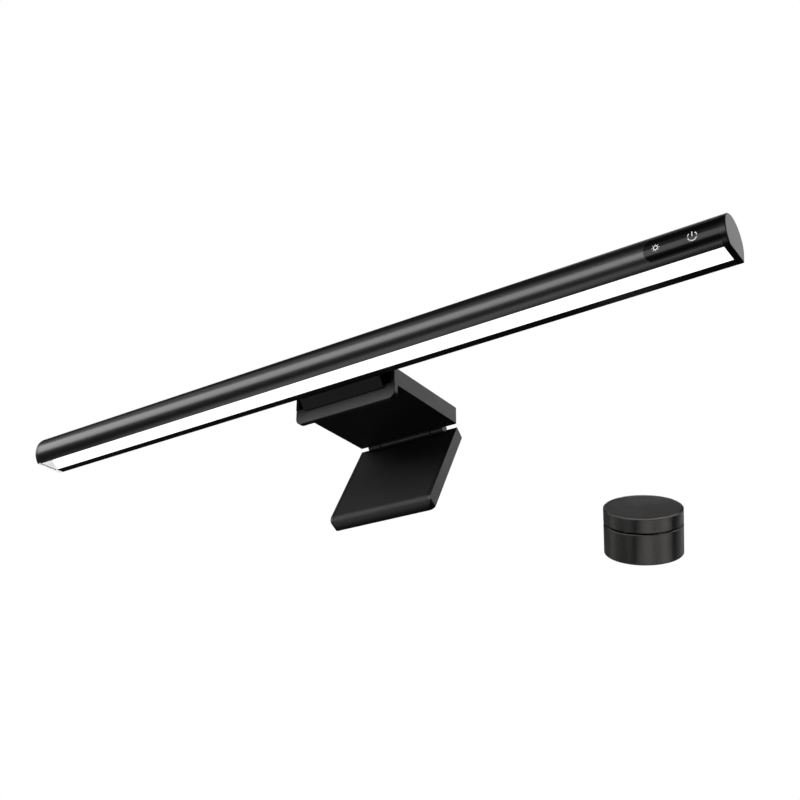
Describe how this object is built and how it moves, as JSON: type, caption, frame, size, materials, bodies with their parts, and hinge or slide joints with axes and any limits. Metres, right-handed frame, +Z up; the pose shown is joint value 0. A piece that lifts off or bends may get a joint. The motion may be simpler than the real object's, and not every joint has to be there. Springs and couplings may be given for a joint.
{
  "type": "monitor light bar",
  "caption": "Slim D-section lamp bar on a tilting neck and a monitor clip with a sprung flap, with a loose round wireless dial that turns and presses.",
  "frame": {"origin": "middle of the rubber pad on the underside of the clip, the face that rests on the monitor's top edge", "axes": "+X along the bar to the touch keys' end, +Y to the back of the monitor, +Z up"},
  "size_m": [0.45, 0.1308, 0.1219],
  "materials": {
    "anodised_black": "fine-blasted black anodised extrusion",
    "cap_plastic": "satin moulded plastic",
    "panel_gloss": "gloss acrylic with pale printed marks",
    "clip_plastic": "fine-textured moulded plastic",
    "diffuser_white": "opal polycarbonate, lit",
    "reflector_white": "white film",
    "lamp_board": "white solder mask on aluminium core",
    "led_package": "phosphor window",
    "circuit_board": "green solder mask",
    "circuit_film": "amber polyimide",
    "chip_black": "moulded package",
    "can_metal": "drawn can",
    "plated_steel": "nickel plate",
    "plain_steel": "zinc plate",
    "spring_steel": "oiled wire",
    "screw_black": "black oxide",
    "washer_polymer": "filled nylon",
    "bush_steel": "black oxide",
    "pad_rubber": "matt silicone rubber",
    "dial_metal": "gunmetal anodised, spun top and brushed side",
    "stem_plastic": "acetal",
    "wire_red": "PVC sleeve"
  },
  "bodies": {
    "clip": {"clip_cover": "clip_plastic", "clip_base": "clip_plastic", "top_pad": "pad_rubber", "lip_pad": "pad_rubber", "clip_screws": "screw_black", "pivot_shaft": "plain_steel", "friction_washers": "washer_polymer", "pivot_bushes": "bush_steel", "hinge_pin": "plain_steel", "torsion_spring": "spring_steel"},
    "bar": {"bar_housing": "anodised_black", "diffuser": "diffuser_white", "led_board": "lamp_board", "led_chips": "led_package", "reflector": "reflector_white", "touch_panel": "panel_gloss", "touch_film": "circuit_film", "driver_board": "circuit_board", "driver_chips": "chip_black", "power_coil": "chip_black", "capacitors": "can_metal", "radio_module": "circuit_board", "usb_socket": "plated_steel", "usb_tongue": "chip_black", "led_wires": "wire_red", "backing_plate": "plain_steel", "end_cap_left": "cap_plastic", "end_cap_right": "cap_plastic", "neck": "clip_plastic", "neck_screws": "screw_black"},
    "flap": {"flap_shell": "clip_plastic", "flap_plate": "plain_steel", "flap_pad": "pad_rubber", "flap_weight": "plain_steel", "flap_screws": "screw_black"},
    "dial_base": {"dial_base": "dial_metal", "dial_bottom": "cap_plastic", "dial_foot": "pad_rubber", "dial_screws": "screw_black", "coin_cell": "can_metal", "cell_contacts": "plated_steel", "dial_board": "circuit_board", "encoder_body": "can_metal", "radio_chip": "chip_black"},
    "dial_stem": {"encoder_stem": "stem_plastic"},
    "dial_cap": {"dial_cap": "dial_metal"}
  },
  "joints": [
    {"name": "bar_tilt", "type": "hinge", "parent": "clip", "child": "bar", "pos_m": [0, -0.025, 0.00505], "axis": [-1, 0, 0], "range_deg": [0, 25]},
    {"name": "flap_hinge", "type": "hinge", "parent": "clip", "child": "flap", "pos_m": [0, 0.0299, -0.0013], "axis": [1, 0, 0], "range_deg": [0, 75], "stiffness_Nm_per_rad": 0.12, "springref_deg": -34.38},
    {"name": "dial_level", "type": "hinge", "parent": "clip", "child": "dial_base", "pos_m": [0.1321, 0.0501, -0.0765], "axis": [-0.8829, -0.4695, 0], "range_deg": [0, 38]},
    {"name": "dial_press", "type": "slide", "parent": "dial_base", "child": "dial_stem", "axis": [-0.289, 0.5436, -0.788], "range_m": [0, 0.0007], "stiffness_N_per_m": 1500, "springref_m": -0.001},
    {"name": "dial_spin", "type": "hinge", "parent": "dial_stem", "child": "dial_cap", "pos_m": [0.1321, 0.0501, -0.0765], "axis": [0.289, -0.5436, 0.788], "continuous": true}
  ]
}
